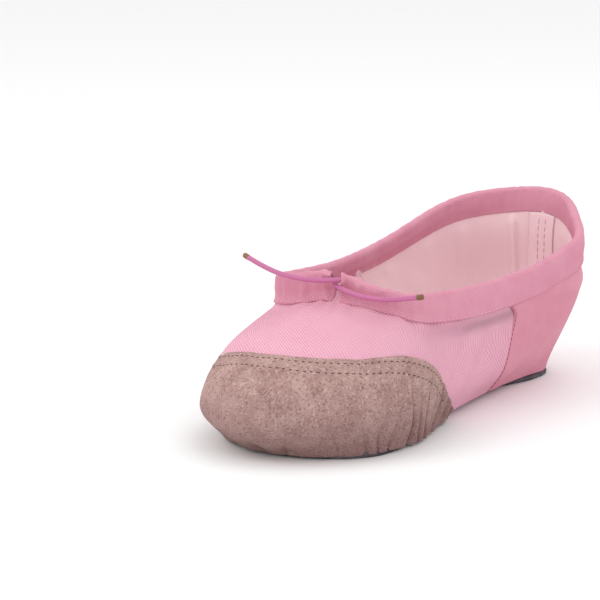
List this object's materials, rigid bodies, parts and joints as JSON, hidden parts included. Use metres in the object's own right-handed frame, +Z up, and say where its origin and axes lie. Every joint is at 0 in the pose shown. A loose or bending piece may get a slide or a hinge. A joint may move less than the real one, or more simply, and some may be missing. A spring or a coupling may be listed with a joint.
{
  "type": "ballet slipper",
  "caption": "Soft split-sole ballet slipper with a suede toe patch and an elastic drawstring in the folded topline.",
  "frame": {"origin": "on the ground under the middle of the slipper's bounding box", "axes": "+Z up, -Y towards the toe, +Y towards the heel, +X to the right when the slipper is seen from the toe"},
  "size_m": [0.0865, 0.206, 0.0724],
  "materials": {
    "vamp_canvas": "coarse plain-weave cotton canvas, matt",
    "quarter_cotton": "close-woven cotton, matt",
    "binding_cotton": "folded cotton tape, matt",
    "lining_cotton": "thin plain cotton, matt",
    "suede": "napped split suede",
    "sole_leather": "dark chrome-tanned leather, matt",
    "foam": "thin felted foam under a cloth cover",
    "elastic_cord": "braided elastic cord, slight sheen",
    "sealed_tip": "melted cord end",
    "dark_thread": "twisted sewing thread",
    "pink_thread": "twisted sewing thread"
  },
  "bodies": {
    "slipper": {"front_outsole": "sole_leather", "heel_outsole": "sole_leather", "front_outsole_stitches": "dark_thread", "heel_outsole_stitches": "dark_thread", "base_canvas": "quarter_cotton", "insole_foam": "foam", "insole_cover": "lining_cotton", "vamp_canvas": "vamp_canvas", "vamp_lining": "lining_cotton", "quarter_canvas_left": "quarter_cotton", "quarter_canvas_right": "quarter_cotton", "quarter_lining_left": "lining_cotton", "quarter_lining_right": "lining_cotton", "back_seam_tape": "lining_cotton", "back_seam_stitches": "pink_thread", "toe_patch": "suede", "toe_patch_upper_stitches": "dark_thread", "toe_patch_lower_stitches": "dark_thread", "topline_binding": "binding_cotton", "binding_stitches": "pink_thread", "side_seam_stitches_left": "pink_thread", "side_seam_stitches_right": "pink_thread", "drawstring_loop": "elastic_cord"},
    "left_tail": {"drawstring_tail_left": "elastic_cord", "cord_tip_left": "sealed_tip"},
    "right_tail": {"drawstring_tail_right": "elastic_cord", "cord_tip_right": "sealed_tip"}
  },
  "joints": [
    {"name": "left_tail_swing", "type": "hinge", "parent": "slipper", "child": "left_tail", "pos_m": [0.0049, -0.0451, 0.0576], "axis": [0, 0, 1], "range_deg": [0, 22]},
    {"name": "right_tail_swing", "type": "hinge", "parent": "slipper", "child": "right_tail", "pos_m": [0.0015, -0.0448, 0.0552], "axis": [0, 0, -1], "range_deg": [0, 35]}
  ]
}
